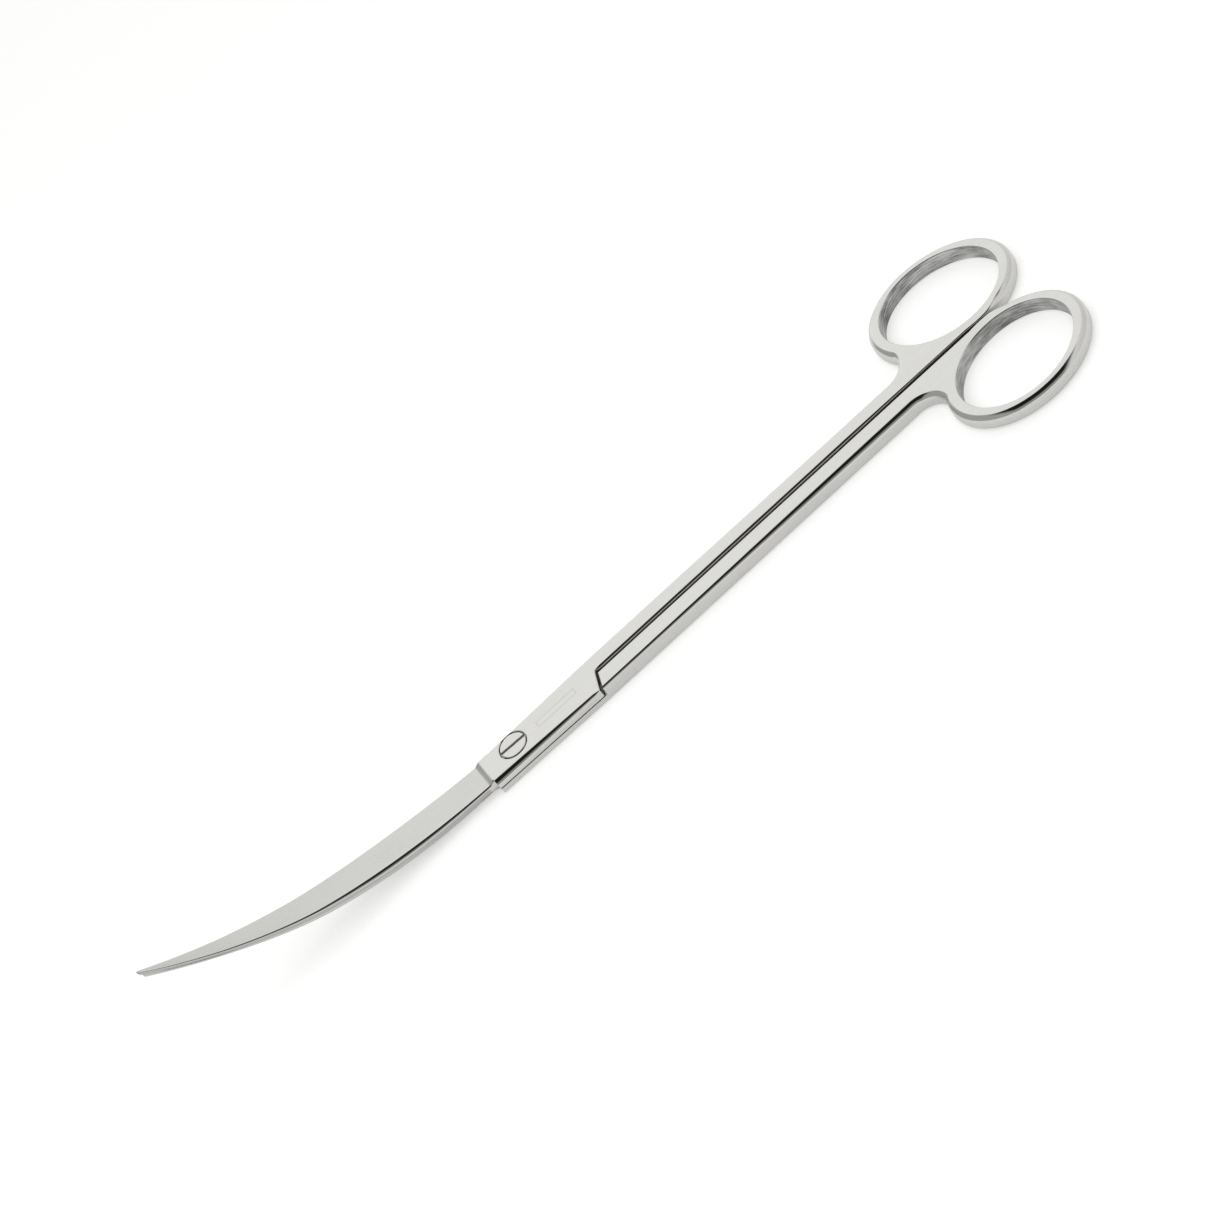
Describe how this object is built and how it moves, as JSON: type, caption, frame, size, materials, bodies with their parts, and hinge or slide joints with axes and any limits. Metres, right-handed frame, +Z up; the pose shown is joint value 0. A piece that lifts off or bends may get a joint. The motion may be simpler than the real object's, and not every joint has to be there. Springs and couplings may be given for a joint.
{
  "type": "curved aquascaping scissors",
  "caption": "Long slim stainless scissors with upward-curved blades, a flat lap joint with a slotted pivot screw, and oval finger rings.",
  "frame": {"origin": "centre of the overall box at the level of the surface that the closed scissors lie on", "axes": "+X from the blade tips to the finger rings, +Y towards the upper half's ring, +Z up, the way the blades curve and the screw head faces"},
  "size_m": [0.2482, 0.062, 0.0298],
  "materials": {
    "satin_steel": "satin ground stainless steel with a polished sheen on the rounded edges",
    "screw_steel": "fine turned stainless steel"
  },
  "bodies": {
    "lower": {"lower_half": "satin_steel", "pivot_screw": "screw_steel"},
    "upper": {"upper_half": "satin_steel"}
  },
  "joints": [
    {"name": "pivot", "type": "hinge", "parent": "lower", "child": "upper", "pos_m": [-0.03236, 0.0009, 0.00215], "axis": [0, 0, 1], "range_deg": [0, 50]}
  ]
}
